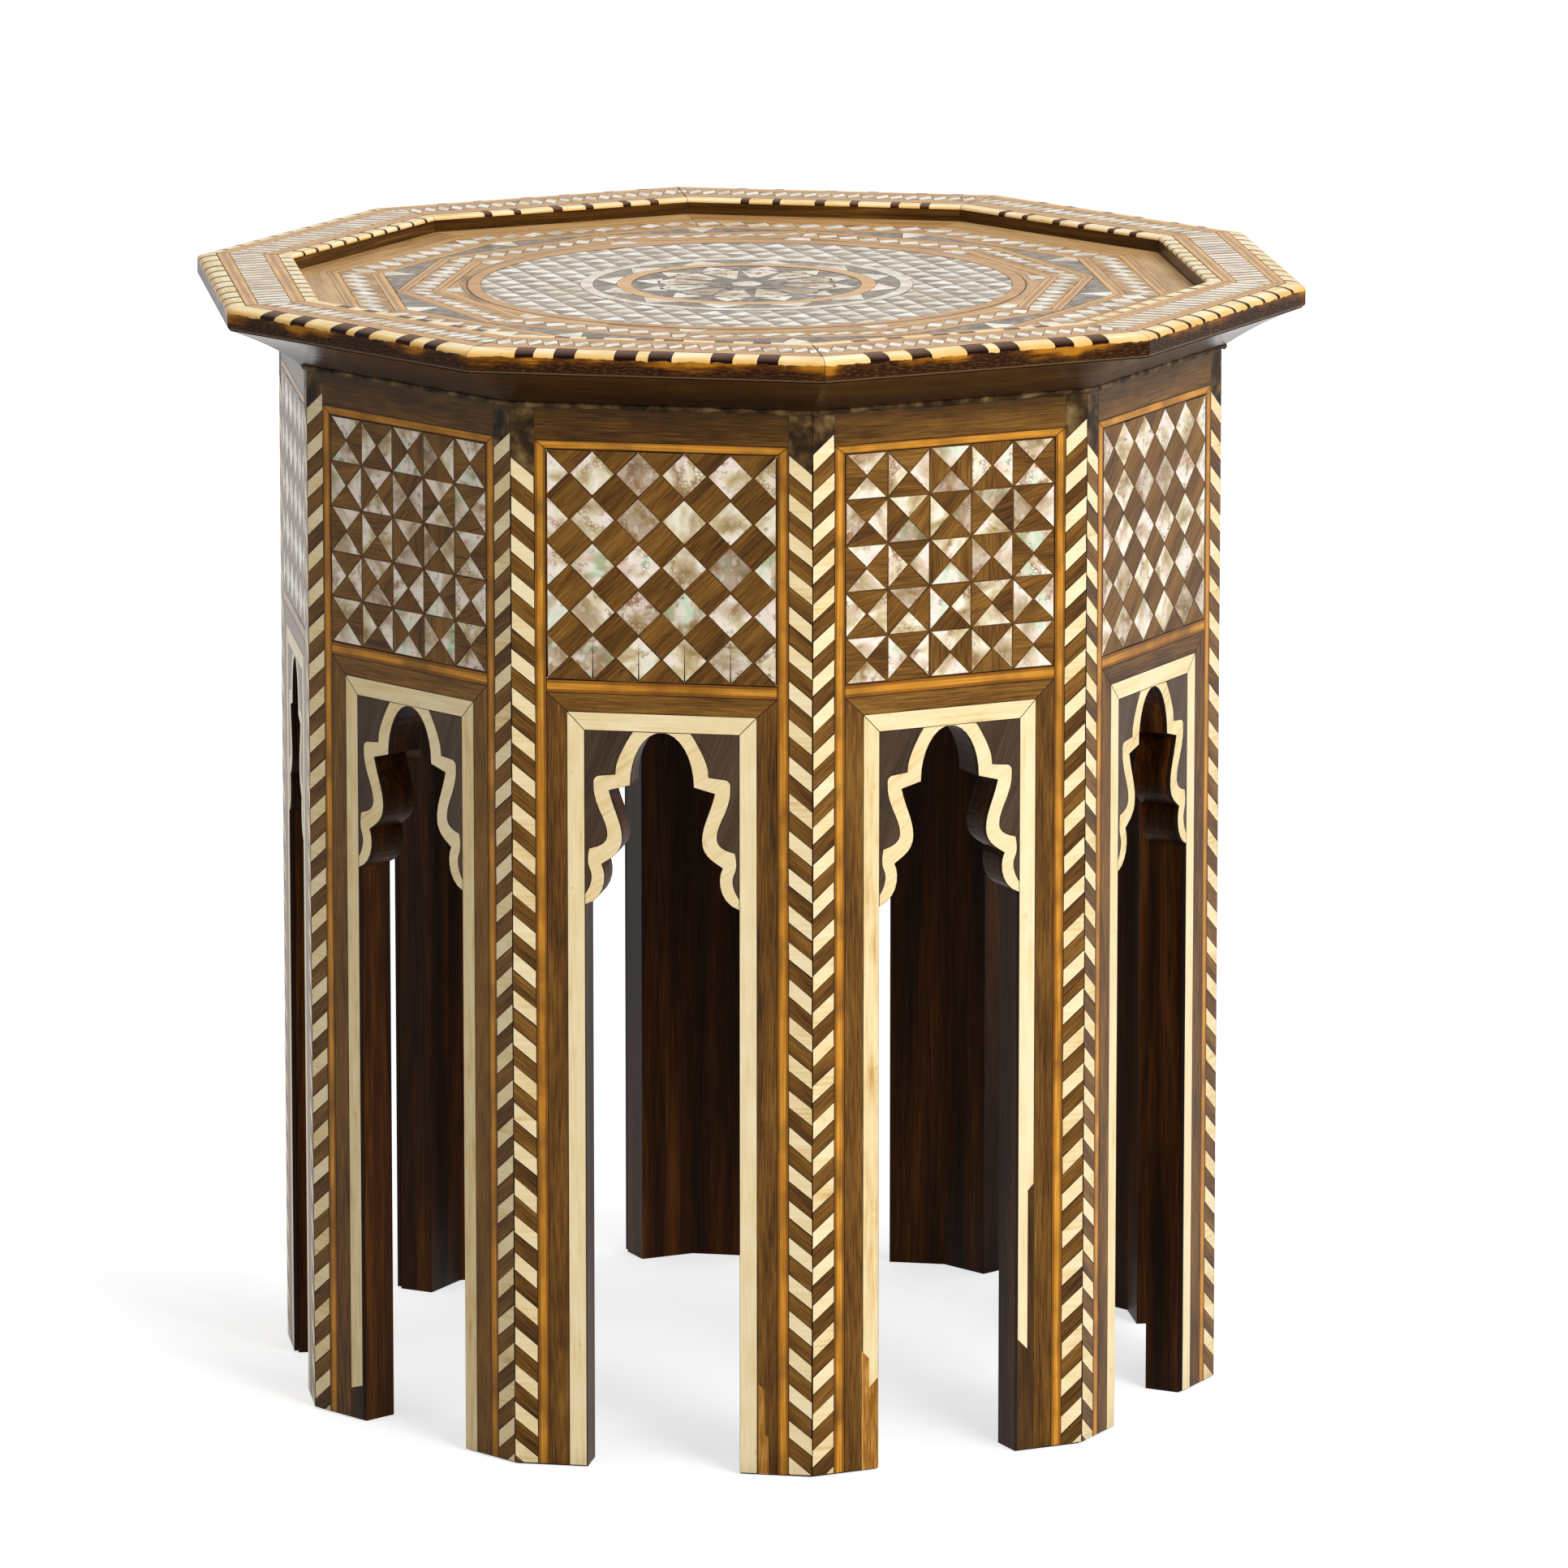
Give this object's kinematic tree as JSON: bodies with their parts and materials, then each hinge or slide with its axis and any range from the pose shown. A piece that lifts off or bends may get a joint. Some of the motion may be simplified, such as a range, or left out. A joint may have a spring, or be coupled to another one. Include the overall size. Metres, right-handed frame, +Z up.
{
  "type": "inlaid side table",
  "caption": "Ten-sided inlaid wooden side table with lobed arches between its legs, a hollowed moulding under the top and a raised rim round the tray.",
  "frame": {"origin": "on the floor under the middle of the table", "axes": "+Z up, and the middle of one side faces -Y"},
  "size_m": [0.554, 0.5268, 0.552],
  "materials": {
    "dark_wood": "dark stained and varnished softwood, vertical grain",
    "marquetry": "marquetry of walnut, lemon wood, orange stringing and ebony, shellacked",
    "pearl_mosaic": "mother-of-pearl and walnut pieces, polished",
    "walnut": "dark walnut, glossy varnish",
    "rim_wood": "walnut faced with marquetry on top, worn varnish on the edge",
    "tray_marquetry": "marquetry of mother-of-pearl, walnut and orange stringing, satin",
    "bare_wood": "unfinished softwood"
  },
  "bodies": {
    "root": {"side_board_01": "dark_wood", "side_board_02": "dark_wood", "side_board_03": "dark_wood", "side_board_04": "dark_wood", "side_board_05": "dark_wood", "side_board_06": "dark_wood", "side_board_07": "dark_wood", "side_board_08": "dark_wood", "side_board_09": "dark_wood", "side_board_10": "dark_wood", "marquetry_sheet_01": "marquetry", "marquetry_sheet_02": "marquetry", "marquetry_sheet_03": "marquetry", "marquetry_sheet_04": "marquetry", "marquetry_sheet_05": "marquetry", "marquetry_sheet_06": "marquetry", "marquetry_sheet_07": "marquetry", "marquetry_sheet_08": "marquetry", "marquetry_sheet_09": "marquetry", "marquetry_sheet_10": "marquetry", "mosaic_panel_01": "pearl_mosaic", "mosaic_panel_02": "pearl_mosaic", "mosaic_panel_03": "pearl_mosaic", "mosaic_panel_04": "pearl_mosaic", "mosaic_panel_05": "pearl_mosaic", "mosaic_panel_06": "pearl_mosaic", "mosaic_panel_07": "pearl_mosaic", "mosaic_panel_08": "pearl_mosaic", "mosaic_panel_09": "pearl_mosaic", "mosaic_panel_10": "pearl_mosaic", "cornice_moulding_01": "walnut", "cornice_moulding_02": "walnut", "cornice_moulding_03": "walnut", "cornice_moulding_04": "walnut", "cornice_moulding_05": "walnut", "cornice_moulding_06": "walnut", "cornice_moulding_07": "walnut", "cornice_moulding_08": "walnut", "cornice_moulding_09": "walnut", "cornice_moulding_10": "walnut", "rim_length_01": "rim_wood", "rim_length_02": "rim_wood", "rim_length_03": "rim_wood", "rim_length_04": "rim_wood", "rim_length_05": "rim_wood", "rim_length_06": "rim_wood", "rim_length_07": "rim_wood", "rim_length_08": "rim_wood", "rim_length_09": "rim_wood", "rim_length_10": "rim_wood", "tray_board": "bare_wood", "tray_field": "tray_marquetry", "tray_medallion": "tray_marquetry", "glue_block_1": "bare_wood", "glue_block_2": "bare_wood", "glue_block_3": "bare_wood", "glue_block_4": "bare_wood", "glue_block_5": "bare_wood"}
  },
  "joints": []
}
